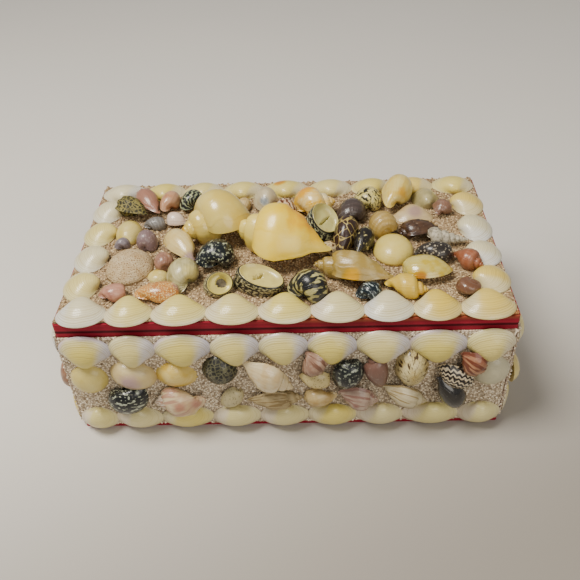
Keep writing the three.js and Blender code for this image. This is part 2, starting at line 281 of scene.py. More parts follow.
# %% Growth lines
tree, given, result = group(
    "growth_lines",
    {"Growth": ("Float", 0.5), "Count": ("Float", 20.0), "Place": ("Vector", None)},
    {"Lines": "Float", "Bands": "Float"},
)
wander = calc(tree, "MULTIPLY", noise(tree, given["Place"], 90.0), 0.09)
along = calc(tree, "ADD", given["Growth"], wander)
phase = calc(tree, "MULTIPLY", along, given["Count"])
uneven = noise(tree, add(tree, "CombineXYZ", {0: phase}).outputs[0], 1.1, 1.0)
swing = calc(tree, "MULTIPLY", calc(tree, "ADD", phase, calc(tree, "MULTIPLY", uneven, 1.5)), math.tau)
fine = ramp(tree, calc(tree, "SINE", swing), 0.35, 1.0)
tree.links.new(fine, result["Lines"])
slow = add(tree, "CombineXYZ", {0: calc(tree, "MULTIPLY", along, 4.0)}).outputs[0]
tree.links.new(ramp(tree, noise(tree, slow, 2.0, 2.0), 0.3, 0.7), result["Bands"])
print("growth_lines ready")

# %% [markdown]
# Mottling is the soft cloudy variation that no natural surface is without.

# %% Mottling
tree, given, result = group(
    "mottling",
    {"Place": ("Vector", None), "Scale": ("Float", 60.0), "Low": ("Float", 0.4), "High": ("Float", 0.6)},
    {"Mask": "Float"},
)
cloud = add(tree, "TexNoise", {"Vector": given["Place"], "Scale": given["Scale"], "Detail": 4.0})
values = {0: cloud.outputs["Fac"], 1: given["Low"], 2: given["High"]}
tree.links.new(add(tree, "MapRange", values).outputs[0], result["Mask"])
print("mottling ready")

# %% [markdown]
# Nerites carry zigzags: thin stripes along the growth direction whose place swings from side to side.
# Along counts round the whorl's mouth, and Growth runs along the coil.

# %% Zigzags
tree, given, result = group(
    "zigzags",
    {
        "Along": ("Float", 0.5), "Growth": ("Float", 0.5), "Stripes": ("Float", 12.0),
        "Waves": ("Float", 5.0), "Swing": ("Float", 0.5), "Width": ("Float", 0.5),
        "Place": ("Vector", None),
    },
    {"Mask": "Float"},
)
wave = calc(tree, "PINGPONG", calc(tree, "MULTIPLY", given["Along"], given["Waves"]), 0.5)
rough = calc(tree, "MULTIPLY", noise(tree, given["Place"], 260.0, 2.0), 1.3)
shift = calc(tree, "ADD", calc(tree, "MULTIPLY", wave, given["Swing"]), rough)
count = calc(tree, "ADD", calc(tree, "MULTIPLY", given["Growth"], given["Stripes"]), shift)
stripe = calc(tree, "PINGPONG", count, 0.5)
low = calc(tree, "MULTIPLY", given["Width"], 0.5)
high = calc(tree, "ADD", low, 0.08)
values = {0: stripe, 1: low, 2: high}
tree.links.new(add(tree, "MapRange", values).outputs[0], result["Mask"])
print("zigzags ready")

# %% [markdown]
# ## Paper
# The board is covered with crimson paper that was brushed with glue. It is darker and lighter in long
# faint streaks, stained amber along the lid's front edge, and satin rather than glossy. A thin band of
# painted shade darkens it along the gap between the box and its lid.

# %% Crimson paper
SEAM = 0.0759  # the height of the gap between the box and its lid


def amber_edge(tree, place, colour, starts, ends, share, code):
    """The colour, turned to amber along the front edge of the lid, more and more to the right."""
    across, outwards, upwards = (
        ramp(tree, axis, start, end) for axis, start, end in zip(axes(tree, place), starts, ends)
    )
    front = calc(tree, "MULTIPLY", outwards, upwards)
    return blend(tree, calc(tree, "MULTIPLY", front, across), colour, code, share)


def crimson_paper():
    material, tree, shader, place = finish("crimson_paper")
    long_way = add(tree, "Mapping", {"Vector": place, "Scale": (6, 60, 200)}).outputs[0]
    streak = ramp(tree, noise(tree, long_way, 1.6, 4.0), 0.3, 0.75)
    colour = blend(tree, streak, "7a1022", "aa2238")
    colour = blend(tree, mottle(tree, place, 25.0), colour, "8a1428", 0.35)
    # Painted shade: a thin dark band along the gap between the box and its lid.
    seam_shade = calc(tree, "ABSOLUTE", calc(tree, "SUBTRACT", axes(tree, place)[2], SEAM))
    colour = blend(tree, ramp(tree, seam_shade, 0.0004, 0.0013, 0.8, 0.0), colour, "30050d")
    starts, ends = (-0.03, -0.062, 0.0785), (0.03, -0.066, 0.0805)
    paint(tree, shader, amber_edge(tree, place, colour, starts, ends, 0.65, "8c4c2c"))
    shader.inputs["Specular IOR Level"].default_value = 0.25
    tree.links.new(ramp(tree, streak, 0, 1, 0.5, 0.7), shader.inputs["Roughness"])
    bump(tree, shader, noise(tree, place, 900.0, 3.0), 0.25, 0.0003)
    return material


paper = crimson_paper()
for name in ("box_body", "lid_board"):
    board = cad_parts[name]
    board.data.materials.clear()
    board.data.materials.append(paper)
print("box and lid in crimson paper")

# %% [markdown]
# ## Sand
# The sand is a rough bed with loose grains on it. The bed is a slab whose skin is cut fine and roughened
# by a cloud pattern. The grain is one small cube, scattered over the bed's outside by geometry nodes,
# turned and sized at random and made real. The grains give the bed its crumbly outline.

# %% Sand finish
def sand_finish(name, pale, mid, dark, gap_shade, share):
    """pale, mid and dark grains, and the painted shade in the gaps between them. share is how many grains are
    dark.
    """
    material, tree, shader, place = finish(name, 0.85)
    cells = add(tree, "TexVoronoi", {"Vector": place, "Scale": 850.0})
    pick_one = add(tree, "SeparateColor", {0: cells.outputs["Color"]}).outputs
    colour = blend(tree, ramp(tree, pick_one[0], 0.1, 0.9), mid, pale)
    colour = blend(tree, ramp(tree, pick_one[1], 1 - share, 1.03 - share), colour, dark)
    # Painted shade: each grain darkens towards its edge, into the gaps between the grains.
    colour = blend(tree, ramp(tree, cells.outputs["Distance"], 0.3, 0.6, 0.0, 0.85), colour, gap_shade)
    colour = blend(tree, mottle(tree, place, 40.0, 0.4, 0.7), colour, mid, 0.2)
    starts, ends = (-0.03, -0.06, 0.078), (0.02, -0.066, 0.08)
    paint(tree, shader, amber_edge(tree, place, colour, starts, ends, 0.7, "b8702c"))
    bump(tree, shader, cells.outputs["Distance"], 0.5, 0.0005)
    return material


lid_sand = sand_finish("lid_sand", "dcc69c", "b89c74", "6a5640", "765e44", 0.05)
# The walls' sand is the lid's sand painted much lighter, as painted light: the walls get little of the key
# lamp's light.
wall_sand_painted_light = sand_finish("wall_sand_painted_light", "fbf0d8", "ecdcc0", "75634c", "907c64", 0.05)
loose_sand = sand_finish("loose_sand", "f2e4c8", "d6c09c", "7a6650", "b8a286", 0.06)
print("three sands")

# %% [markdown]
# The floor is cloudy, like an old painted table. It darkens to the near right, where less light falls.

# %% Floor finish
floor_paint, tree, shader, place = finish("floor_paint", 0.6)
colour = blend(tree, noise(tree, place, 6.0), "dcd8d0", "d3cec5", 0.5)
x, y = axes(tree, place)[:2]
near = calc(tree, "SUBTRACT", calc(tree, "MULTIPLY", x, 0.45), y)
paint(tree, shader, blend(tree, ramp(tree, near, -0.08, 0.22), colour, "928b81"))
floor.data.materials.append(floor_paint)
print("floor painted")

# %% [markdown]
# The grain is a cube of one millimetre. The nodes take each face of a bed that looks the right way,
# put points on it, and set a copy of the grain on every point.

# %% One grain
grain = fresh("grain", bpy.ops.mesh.primitive_cube_add, size=1.0 * MM)
grain.data.materials.append(loose_sand)
print(len(grain.data.polygons), "faces on a grain")

# %% Scattering
def scatter_nodes(direction, density):
    """Geometry nodes that put grains on the faces that look in one direction."""
    tree = bpy.data.node_groups.new("grains", "GeometryNodeTree")
    for way in ("INPUT", "OUTPUT"):
        tree.interface.new_socket("Mesh", in_out=way, socket_type="NodeSocketGeometry")

    def put(kind, **settings):
        new = tree.nodes.new(kind)
        for key, value in settings.items():
            setattr(new, key, value)
        return new

    start, end = put("NodeGroupInput"), put("NodeGroupOutput")
    normal = put("GeometryNodeInputNormal")
    facing = put("ShaderNodeVectorMath", operation="DOT_PRODUCT")
    facing.inputs[1].default_value = direction
    outer = put("ShaderNodeMath", operation="GREATER_THAN")
    outer.inputs[1].default_value = 0.6
    where = put("GeometryNodeDistributePointsOnFaces")
    where.inputs["Density"].default_value = density
    cube = put("GeometryNodeObjectInfo")
    cube.inputs["Object"].default_value = grain
    size = put("FunctionNodeRandomValue", data_type="FLOAT")
    size.inputs[2].default_value, size.inputs[3].default_value = 0.55, 1.45
    turn = put("FunctionNodeRandomValue", data_type="FLOAT_VECTOR")
    turn.inputs[1].default_value = (6.3, 6.3, 6.3)
    copies, real = put("GeometryNodeInstanceOnPoints"), put("GeometryNodeRealizeInstances")
    both = put("GeometryNodeJoinGeometry")
    for a, b in (
        (normal.outputs[0], facing.inputs[0]), (facing.outputs["Value"], outer.inputs[0]),
        (start.outputs[0], where.inputs["Mesh"]), (outer.outputs[0], where.inputs["Selection"]),
        (where.outputs["Points"], copies.inputs["Points"]),
        (cube.outputs["Geometry"], copies.inputs["Instance"]),
        (turn.outputs[0], copies.inputs["Rotation"]), (size.outputs[1], copies.inputs["Scale"]),
        (copies.outputs[0], real.inputs[0]), (real.outputs[0], both.inputs[0]),
        (start.outputs[0], both.inputs[0]), (both.outputs[0], end.inputs[0]),
    ):
        tree.links.new(a, b)
    return tree


print("a way to scatter grains")

# %% [markdown]
# A bed is a slab of its wall's size. Its skin is divided finely and roughened before the grains go on.

# %% Sand beds
SKIN = 4 * MM  # the distance between the cuts in a bed's skin


def slab(name, low, high):
    bed = fresh(name, bpy.ops.mesh.primitive_cube_add, size=1)
    bpy.ops.transform.resize(value=[h - l for l, h in zip(low, high)])
    bpy.ops.transform.translate(value=[(h + l) / 2 for l, h in zip(low, high)])
    bpy.ops.object.transform_apply(location=True, rotation=True, scale=True)
    return bed


def sand_bed(name, node, low, high, direction, sand, density):
    """A bed between two corners, in millimetres, with its grains on the side that looks outwards."""
    bed = slab(name, Vector(low) * MM, Vector(high) * MM)
    editing(bed)
    for axis in range(3):
        normal = [float(i == axis) for i in range(3)]
        start = math.floor(low[axis] * MM / SKIN) + 1
        for cut in range(start, math.ceil(high[axis] * MM / SKIN)):
            bpy.ops.mesh.select_all(action="SELECT")
            bpy.ops.mesh.bisect(plane_co=[cut * SKIN * n for n in normal], plane_no=normal)
    leave()
    rough = bed.modifiers.new("rough", "DISPLACE")
    rough.texture = bpy.data.textures.new(name, "CLOUDS")
    rough.texture.noise_scale = 4 * MM
    rough.strength, rough.mid_level = 0.8 * MM, 0.65
    grains = bed.modifiers.new("grains", "NODES")
    grains.node_group = scatter_nodes(direction, density)
    bpy.context.view_layer.update()
    apply_modifiers(bed)
    bed.data.materials.clear()
    bed.data.materials.append(sand)
    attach(bed, "root")
    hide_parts(node)
    return bed


SANDS = (
    ("lid_sand", "lid_sand_bed", (-119, -65.5, 81.3), (119, 65.5, 82.5), (0, 0, 1), lid_sand, 370000),
    ("front_sand", "front_sand_bed", (-119, -68, 4), (119, -66.8, 72.7), (0, -1, 0), wall_sand_painted_light, 400000),
    ("back_sand", "back_sand_bed", (-119, 66.8, 4), (119, 68, 72.7), (0, 1, 0), wall_sand_painted_light, 340000),
    ("left_sand", "left_sand_bed", (-121.5, -65.5, 4), (-120.3, 65.5, 72.7), (-1, 0, 0), wall_sand_painted_light, 360000),
    ("right_sand", "right_sand_bed", (120.3, -65.5, 4), (121.5, 65.5, 72.7), (1, 0, 0), wall_sand_painted_light, 360000),
)
for row in SANDS:
    print(row[0], len(sand_bed(*row).data.polygons), "faces")
bpy.data.objects.remove(grain)

# %% [markdown]
# ## How a spiral shell grows
# A snail adds shell at its mouth. The mouth keeps its outline, only larger, and moves round the shell's
# axis and down it. So the whole shell is one outline, turned, moved and enlarged again and again about a
# single point, its apex. That is an array: a short piece of tube, from one rib to the next, is copied
# with an empty that turns it and shrinks it about the apex. Whatever is shaped on that piece, such as a
# rib, a knob or a cord, then repeats all over the shell.

# %% One rib's length of tube
def tube_piece(name, ring, reach, drop, wide, tall, lean, widen, ribs, rib, cord, foot, shoulder):
    """The mouth's outline and two more behind it, with the rib between them."""
    shell = fresh(name, bpy.ops.mesh.primitive_circle_add, vertices=ring, radius=1,
                  rotation=(math.pi / 2, 0, 0))
    bpy.ops.object.transform_apply(rotation=True)
    editing(shell)
    pick(lambda co: co.z < -0.3)
    bpy.ops.transform.resize(value=(foot, 1, 1))
    pick(lambda co: co.z > 0.3)
    bpy.ops.transform.resize(value=(shoulder, 1, 1))
    if cord != 1:
        pick(lambda co: round(math.atan2(co.z, co.x) / math.tau * ring) % 2)
        bpy.ops.transform.resize(value=(cord, 1, cord), center_override=(0, 0, 0))
    bpy.ops.mesh.select_all(action="SELECT")
    bpy.ops.transform.resize(value=(wide, 1, tall), center_override=(0, 0, 0))
    bpy.ops.transform.rotate(value=-math.radians(lean), orient_axis="Y", center_override=(0, 0, 0))
    bpy.ops.transform.translate(value=(reach, 0, -drop))
    half, shrink = math.pi / ribs, widen ** (-0.5 / ribs)
    crest = Vector((reach, 0, -drop))
    for swell in (rib, 1 / rib):
        crest = Matrix.Rotation(half, 3, "Z") @ crest * shrink
        bpy.ops.mesh.extrude_edges_move()
        bpy.ops.transform.rotate(value=-half, orient_axis="Z", center_override=(0, 0, 0))
        bpy.ops.transform.resize(value=(shrink,) * 3, center_override=(0, 0, 0))
        bpy.ops.transform.resize(value=(swell,) * 3, center_override=crest)
    leave()
    return shell


def map_rings(shell, ring, step):
    """A map: U grows by step from each ring of points to the next, and V goes once round the ring."""
    grown = shell.data.uv_layers.new(name="grown")
    for face in shell.data.polygons:
        turns = [point % ring for point in face.vertices]
        across_start = max(turns) - min(turns) > 1
        for corner, point, turn in zip(face.loop_indices, face.vertices, turns):
            full = ring if across_start and turn == 0 else turn
            grown.data[corner].uv = (point // ring * step, full / ring)


# %% [markdown]
# The array leaves the shell open at its apex and its mouth. Both open edges are drawn to one point that
# lies inside the shell, nearer its mouth. That closes the shell, and the mouth becomes a hollow that
# narrows into the dark. Last, the shell is laid down along X, its spire to the right and its mouth below.

# %% The whole coil
NEARER_MOUTH = ((0.9, -0.02), (0.94, 0.1), (0.8, 0.35))  # the point's steps: a scale and a turn each


def coil(name, reach, drop, wide, tall, lean=0, widen=2.0, turns=3.0, ribs=14, ring=16, rib=1.0, cord=1.0,
         foot=1.0, shoulder=1.0):
    """
    A spiral shell, for copying. reach and drop lead from the apex to the middle of the mouth, wide and
    tall are its half sizes and lean its tilt in degrees. widen is the growth in one turn. rib and cord
    swell the ribs and every other line along the coil. foot narrows the mouth's low end and shoulder
    widens its high end.
    """
    shell = tube_piece(name, ring, reach, drop, wide, tall, lean, widen, ribs, rib, cord, foot, shoulder)
    map_rings(shell, ring, 0.5 / ribs)
    guide = bpy.data.objects.new("guide", None)
    bpy.context.collection.objects.link(guide)
    guide.rotation_euler.z = math.tau / ribs
    guide.scale = (widen ** (-1 / ribs),) * 3
    bpy.context.view_layer.update()
    growth = shell.modifiers.new("growth", "ARRAY")
    growth.count = round(turns * ribs)
    growth.use_relative_offset, growth.use_object_offset, growth.offset_object = False, True, guide
    growth.use_merge_vertices, growth.merge_threshold, growth.offset_u = True, 2e-5, 1 / ribs
    apply_modifiers(shell)
    bpy.data.objects.remove(guide)

    middle = Vector((reach, 0, -drop))
    editing(shell)
    open_edges()
    bpy.ops.mesh.merge(type="CENTER")
    for scale, back in NEARER_MOUTH:
        bpy.ops.transform.resize(value=(scale,) * 3, center_override=middle)
        bpy.ops.transform.rotate(value=-back, orient_axis="Z", center_override=(0, 0, 0))
    face_outwards()
    shell.data.transform(Matrix.Rotation(math.pi / 2, 4, "X") @ Matrix.Rotation(math.pi / 2, 4, "Y"))
    smooth(shell)
    return shell


# %% [markdown]
# The kinds differ only in a few proportions. A moon snail widens fast and hardly drops. A whelk's mouth
# is long and leans, so that its whorls step down a tall spire. A cerith widens slowly, in many turns.

# %% The kinds
KINDS = {
    "conch": coil("conch", 0.38, 1.5, 0.48, 0.86, lean=22, widen=1.85, turns=4.5, ribs=22, ring=28,
                  foot=0.8, shoulder=1.2),
    "moon": coil("moon", 0.42, 0.74, 0.5, 0.62, lean=14, widen=2.5, turns=3.5, ribs=20, ring=28),
    "high_moon": coil("high_moon", 0.42, 1.35, 0.54, 0.66, lean=8, widen=1.9, turns=4, ribs=20, ring=28),
    "bubble": coil("bubble", 0.3, 0.62, 0.5, 0.62, widen=2.6),
    "nerite": coil("nerite", 0.4, 0.36, 0.52, 0.58, lean=-16, widen=3.6, turns=2.5),
    "ribbed": coil("ribbed", 0.4, 0.46, 0.46, 0.5, lean=5, widen=2.6, ribs=24, rib=1.06),
    "corded": coil("corded", 0.4, 0.5, 0.46, 0.5, lean=5, widen=2.6, ring=24, cord=1.06),
    "whelk": coil("whelk", 0.34, 1.3, 0.4, 0.68, lean=16, widen=1.9, turns=4, ribs=11, rib=1.1, foot=0.75),
    "smooth_whelk": coil("smooth_whelk", 0.34, 1.3, 0.4, 0.68, lean=16, widen=1.9, turns=4, foot=0.75),
    "drupe": coil("drupe", 0.4, 1.0, 0.46, 0.66, lean=12, widen=2.2, ribs=9, ring=20, rib=1.14, cord=1.06,
                  foot=0.8),
    "cone": coil("cone", 0.28, 0.98, 0.32, 0.82, lean=17, widen=1.7, turns=4, foot=0.8),
    "olive": coil("olive", 0.24, 1.1, 0.3, 0.9, lean=5, widen=2.1, foot=0.85),
    "cerith": coil("cerith", 0.3, 2.3, 0.34, 0.42, lean=5, widen=1.35, turns=8, ribs=9, ring=12, rib=1.1),
}

# The conch's lip flares out.
editing(KINDS["conch"])
flare = points(KINDS["conch"])[:, 1].max()
pick(lambda co: co.y > 0.97 * flare)
bpy.ops.transform.translate(value=(0, 0.3, -0.1), use_proportional_edit=True,
                            proportional_edit_falloff="SMOOTH", proportional_size=0.9)
leave()


def measure(*kinds):
    """Prints the size and the faces of these kinds."""
    for kind in kinds:
        size = [round(d, 2) for d in np.ptp(points(KINDS[kind]), axis=0)]
        print(kind, size, len(KINDS[kind].data.polygons), "faces")


measure(*KINDS)

# %% [markdown]
# ## How a clam grows
# A clam's valve grows along its whole margin at once, away from its beak. Each older margin is smaller
# and is turned up about the beak, so the valve is the outline extruded inwards, shrunk and turned, step
# by step, until it curls over at the beak.

# %% Clams and other domed shells
def valve(name, ring=36, steps=13, taper=0.94, rate=0.97, curl=112):
    """A clam's valve for copying: its margin towards +Y, its beak at the origin, its back upwards."""
    clam = fresh(name, bpy.ops.mesh.primitive_circle_add, vertices=ring, radius=0.5, location=(0, 0.5, 0))
    bpy.ops.object.transform_apply(location=True)
    editing(clam)
    pick(lambda co: co.y < 0.01)
    bpy.ops.transform.resize(value=(taper, 1, 1), center_override=(0, 0, 0), use_proportional_edit=True,
                             proportional_edit_falloff="SMOOTH", proportional_size=0.6)
    bpy.ops.mesh.select_all(action="SELECT")
    size, turned = 1.0, 0.0
    for step in range(1, steps):
        smaller = 1 - step / steps
        angle = min(-math.log(smaller) / rate, math.radians(curl))
        bpy.ops.mesh.extrude_edges_move()
        bpy.ops.transform.resize(value=(smaller / size,) * 3, center_override=(0, 0, 0))
        bpy.ops.transform.rotate(value=turned - angle, orient_axis="X", center_override=(0, 0, 0))
        size, turned = smaller, angle
    bpy.ops.mesh.merge(type="CENTER")
    leave()
    map_rings(clam, ring, 1 / steps)
    editing(clam)
    open_edges()
    for scale, down in ((1.0, -0.02), (0.93, 0.0)):
        bpy.ops.mesh.extrude_edges_move()
        bpy.ops.transform.resize(value=(scale,) * 3, center_override=(0, 0.5, 0))
        bpy.ops.transform.translate(value=(0, 0, down))
    bpy.ops.mesh.edge_face_add()
    face_outwards()
    smooth(clam)
    return clam


KINDS["clam"] = valve("clam")
KINDS["valve"] = valve("valve", taper=1.0, rate=0.8, curl=100)
measure("clam", "valve")

# %% [markdown]
# ## Setting a shell
# A shell is copied from its kind, rolled and tilted, brought to its size, and cut off level where it sinks
# into the sand. Then it is turned and put in its place. On the lid it is fitted to the room of its solid.

# %% Setting
def place_of(origin, u, v):
    """The matrix of a face of the box, from its middle and its two directions."""
    u, v = Vector(u), Vector(v)
    matrix = Matrix((u, v, u.cross(v))).transposed().to_4x4()
    matrix.translation = Vector(origin) * MM
    return matrix


FACES = {
    "lid": place_of((0, 0, 82.8), (1, 0, 0), (0, 1, 0)),
    "front": place_of((0, -68.3, 0), (1, 0, 0), (0, 0, 1)),
    "back": place_of((0, 68.3, 0), (-1, 0, 0), (0, 0, 1)),
    "left": place_of((-121.8, 0, 0), (0, -1, 0), (0, 0, 1)),
    "right": place_of((121.8, 0, 0), (0, 1, 0), (0, 0, 1)),
}
DOMED = ("clam", "valve", "dome", "limpet", "ribbed_limpet")
LEANING_FORWARD = (*DOMED, "mouth_wide", "mouth_open", "mouth_slit")


def fit(obj, low, high):
    """Brings the mesh to an exact room, along the axes."""
    rows = points(obj)
    start, end = rows.min(axis=0), rows.max(axis=0)
    scale = [(h - l) / max(e - s, 1e-9) for l, h, s, e in zip(low, high, start, end)]
    obj.data.transform(
        Matrix.Translation(low) @ Matrix.Diagonal((*scale, 1)) @ Matrix.Translation([-s for s in start])
    )


def set_shell(name, kind, face, u, v, turn, size, material, roll=0, tilt=0, sink=0.12, deep=0):
    """
    A shell in its place on a face, in millimetres. turn is the way its spire or its margin points. roll
    turns it about its own length. sink is the share of its height under the sand, but a domed shell lies
    on the sand and is hardly sunk.
    """
    master = KINDS[kind]
    shell = master.copy()
    shell.data = master.data.copy()
    shell.name = shell.data.name = name
    bpy.context.collection.objects.link(shell)
    lean = Matrix.Rotation(math.radians(-tilt), 4, "X" if kind in LEANING_FORWARD else "Y")
    shell.data.transform(lean @ Matrix.Rotation(math.radians(roll), 4, "X"))
    long, wide, high = (s * MM for s in size)
    if kind in DOMED:
        sink = 0.02
    low = Vector((-long / 2, -wide / 2, -high * sink / (1 - sink)))
    fit(shell, low, Vector((long / 2, wide / 2, high)))
    editing(shell)
    bpy.ops.mesh.select_all(action="SELECT")
    level = dict(plane_co=(0, 0, 0), plane_no=(0, 0, 1), threshold=1e-6)
    bpy.ops.mesh.bisect(clear_inner=True, use_fill=True, **level)
    leave()
    put = Matrix.Translation((u * MM, v * MM, -deep * MM)) @ Matrix.Rotation(math.radians(turn), 4, "Z")
    shell.data.transform(FACES[face] @ put)
    if shell.data.materials:
        shell.data.materials[0] = material
    else:
        shell.data.materials.append(material)
    return shell


def one_piece(name, parts, nodes):
    """Joins the parts to one piece that stands for these solids."""
    only(parts[0])
    for part in parts:
        part.select_set(True)
    if len(parts) > 1:
        bpy.ops.object.join()
    parts[0].name = parts[0].data.name = name
    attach(parts[0], "root")
    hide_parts(*nodes)
    return parts[0]


print("ready to set shells")

# %% [markdown]
# Limpets, and the nerites that lie with their mouths up, are rings that rise on top of one another. A
# nerite seen into its mouth is a bowl with a thick lip and, inside the lip, a flat deck. The opening is
# a slit that is sunk into the deck.

# %% Limpets and nerites with their mouths up
def ringed(name, outline, ring, cord=1.0):
    """Rings of these radii at these heights, closed at both ends. cord swells every other rib."""
    shell = fresh(name, bpy.ops.mesh.primitive_circle_add, vertices=ring, radius=1)
    editing(shell)
    (radius, height), *others = outline
    if cord != 1:
        pick(lambda co: round(math.atan2(co.y, co.x) / math.tau * ring) % 2)
        bpy.ops.transform.resize(value=(cord, cord, 1), center_override=(0, 0, 0))
    bpy.ops.mesh.select_all(action="SELECT")
    bpy.ops.transform.resize(value=(radius,) * 3, center_override=(0, 0, 0))
    bpy.ops.transform.translate(value=(0, 0, height))
    for next_radius, next_height in others:
        bpy.ops.mesh.extrude_edges_move()
        share = next_radius / radius
        bpy.ops.transform.resize(value=(share, share, 1), center_override=(0, 0, height))
        bpy.ops.transform.translate(value=(0, 0, next_height - height))
        radius, height = next_radius, next_height
    bpy.ops.mesh.merge(type="CENTER")
    leave()
    map_rings(shell, ring, 1 / len(outline))
    editing(shell)
    open_edges()
    bpy.ops.mesh.edge_face_add()
    face_outwards()
    smooth(shell)
    return shell


# The slit's finish is painted shade: a dark colour for the inside of the nerite's opening.
slit_shade, tree, shader, place = finish("slit_shade", 0.6)
paint(tree, shader, blend(tree, mottle(tree, place, 400.0), "3c3630", "7c7466"))
DECK = 0.32  # everything on the deck is above this


def mouth_up(name, slit, flare=1.0):
    """A nerite with its mouth up. slit has its opening's middle and half sizes. flare widens the lip."""
    shell = ringed(name, MOUTH, 32)
    shell.data.materials.append(None)
    shell.data.materials.append(slit_shade)
    editing(shell)
    pick(lambda co: co.z > 0.3)
    bpy.ops.transform.resize(value=(flare, flare, 1), center_override=(0, 0, 0))
    pick(lambda co: co.z > DECK and co.to_2d().length < 0.345 * flare)
    bpy.ops.mesh.subdivide(number_cuts=3)
    x, y, half_x, half_y = slit
    pick(lambda co: co.z > DECK and ((co.x - x) / half_x) ** 2 + ((co.y - y) / half_y) ** 2 < 1)
    bpy.ops.transform.translate(value=(0, 0, -0.28))
    # The sunk slit gets the painted shade.
    shell.active_material_index = 1
    bpy.ops.object.material_slot_assign()
    leave()
    return shell


MOUTH = ((0.3, -0.42), (0.45, -0.15), (0.5, 0.08), (0.485, 0.24), (0.45, 0.36), (0.415, 0.425),
         (0.395, 0.44), (0.375, 0.42), (0.345, 0.38), (0.28, 0.35), (0.17, 0.34), (0.06, 0.34))
DOME = ((0.5, 0), (0.49, 0.2), (0.455, 0.42), (0.395, 0.62), (0.31, 0.79), (0.2, 0.92), (0.08, 0.99))
LIMPET = ((0.5, 0), (0.48, 0.16), (0.42, 0.42), (0.34, 0.64), (0.24, 0.82), (0.13, 0.94), (0.04, 1))
KINDS["dome"] = ringed("dome", DOME, 36)
KINDS["limpet"] = ringed("limpet", LIMPET, 36)
KINDS["ribbed_limpet"] = ringed("ribbed_limpet", LIMPET, 44, 1.07)
KINDS["mouth_wide"] = mouth_up("mouth_wide", (0.0, -0.04, 0.19, 0.045), 1.1)
KINDS["mouth_open"] = mouth_up("mouth_open", (-0.11, -0.04, 0.2, 0.2))
KINDS["mouth_slit"] = mouth_up("mouth_slit", (0.0, 0.0, 0.24, 0.03))
measure("dome", "limpet", "ribbed_limpet", "mouth_wide", "mouth_open", "mouth_slit")

# %% [markdown]
# ## Shell finishes
# Every shell gets a finish of its own from one recipe: a pale and a deep colour mixed in clouds and in
# slow bands of growth, fine growth lines, and at choice a dark pattern, cords along the coil and stains
# at given places. The recipe reads the map that was made as the shell grew.

# %% The shell recipe
def dark_marks(tree, pattern, growth, around, place):
    """Where a pattern, its name and its numbers, leaves a shell pale: 1 there and 0 on the dark marks."""
    sort, *marks = pattern
    if sort == "zigzag":
        values = dict(zip(("Stripes", "Waves", "Swing", "Width"), map(float, marks)))
        return use(tree, "zigzags", {"Along": around, "Growth": growth, "Place": place, **values})["Mask"]
    if sort == "dashes":
        along, across, share = marks
        flat = {0: calc(tree, "MULTIPLY", growth, along), 1: calc(tree, "MULTIPLY", around, across)}
        speck = noise(tree, add(tree, "CombineXYZ", flat).outputs[0], 1.0, 2.0)
        return ramp(tree, speck, share - 0.03, share + 0.03)
    scale, low, high = marks
    stir = add(tree, "TexNoise", {"Vector": place, "Scale": 0.7 * scale, "Detail": 2.0}).outputs["Color"]
    stirred = add(tree, "VectorMath", {0: stir, 1: Vector((0.9 / scale,) * 3), 2: place},
                  operation="MULTIPLY_ADD").outputs[0]
    cells = add(tree, "TexVoronoi", {"Vector": stirred, "Scale": scale},
                feature="DISTANCE_TO_EDGE" if sort == "net" else "F1").outputs["Distance"]
    return ramp(tree, cells, low, high, 1.0, 0.0)


def stained(tree, place, colour, spot, radius, code):
    """The colour with a soft stain about a point, in millimetres."""
    away = add(tree, "VectorMath", {0: place, 1: Vector(spot) * MM}, operation="DISTANCE").outputs["Value"]
    wobble = calc(tree, "MULTIPLY", noise(tree, place, 200.0), 0.6 * radius * MM)
    near = ramp(tree, calc(tree, "ADD", away, wobble), 0.6 * radius * MM, 1.35 * radius * MM, 1.0, 0.0)
    return blend(tree, near, colour, code)


def shell_finish(name, pale, deep, dark="", pattern=(), spots=(), tip="", lines=24.0, cords=0,
                 cloud=150.0, roughness=0.35, coat=0.3, relief=0.35, vivid=1.3):
    """
    A shell's own finish. dark is the colour of its pattern, tip that of its spire. spots are stains, cords
    and lines are counts, cloud is how fine the clouds are, and vivid is the strength of the colour.
    """
    material, tree, shader, place = finish(name, roughness, coat)
    growth, around = growth_map(tree)
    fine = use(tree, "growth_lines", {"Growth": growth, "Count": lines, "Place": place})
    bands = calc(tree, "MULTIPLY", fine["Bands"], 0.55)
    mask = calc(tree, "MAXIMUM", mottle(tree, place, cloud, 0.4, 0.62), bands)
    colour = blend(tree, mask, pale, deep)
    if tip:
        colour = blend(tree, ramp(tree, growth, 0.7, 1.1), colour, tip)
    height = fine["Lines"]
    if cords:
        cord = ramp(tree, calc(tree, "SINE", calc(tree, "MULTIPLY", around, cords * math.tau)), -1.0, 1.0)
        colour = blend(tree, cord, deep, colour, 0.35)
        height = calc(tree, "ADD", height, calc(tree, "MULTIPLY", cord, 2.0))
    for spot in spots:
        colour = stained(tree, place, colour, *spot)
    if pattern:
        colour = blend(tree, dark_marks(tree, pattern, growth, around, place), dark, colour)
        shader.inputs["Specular IOR Level"].default_value = 0.35
    colour = blend(tree, fine["Lines"], colour, dark or deep, 0.16)
    colour = blend(tree, mottle(tree, place, 700.0, 0.62, 0.75), colour, "e9e2d0", 0.15)
    paint(tree, shader, rich(tree, colour, vivid))
    bump(tree, shader, height, relief, 0.0003)
    return material


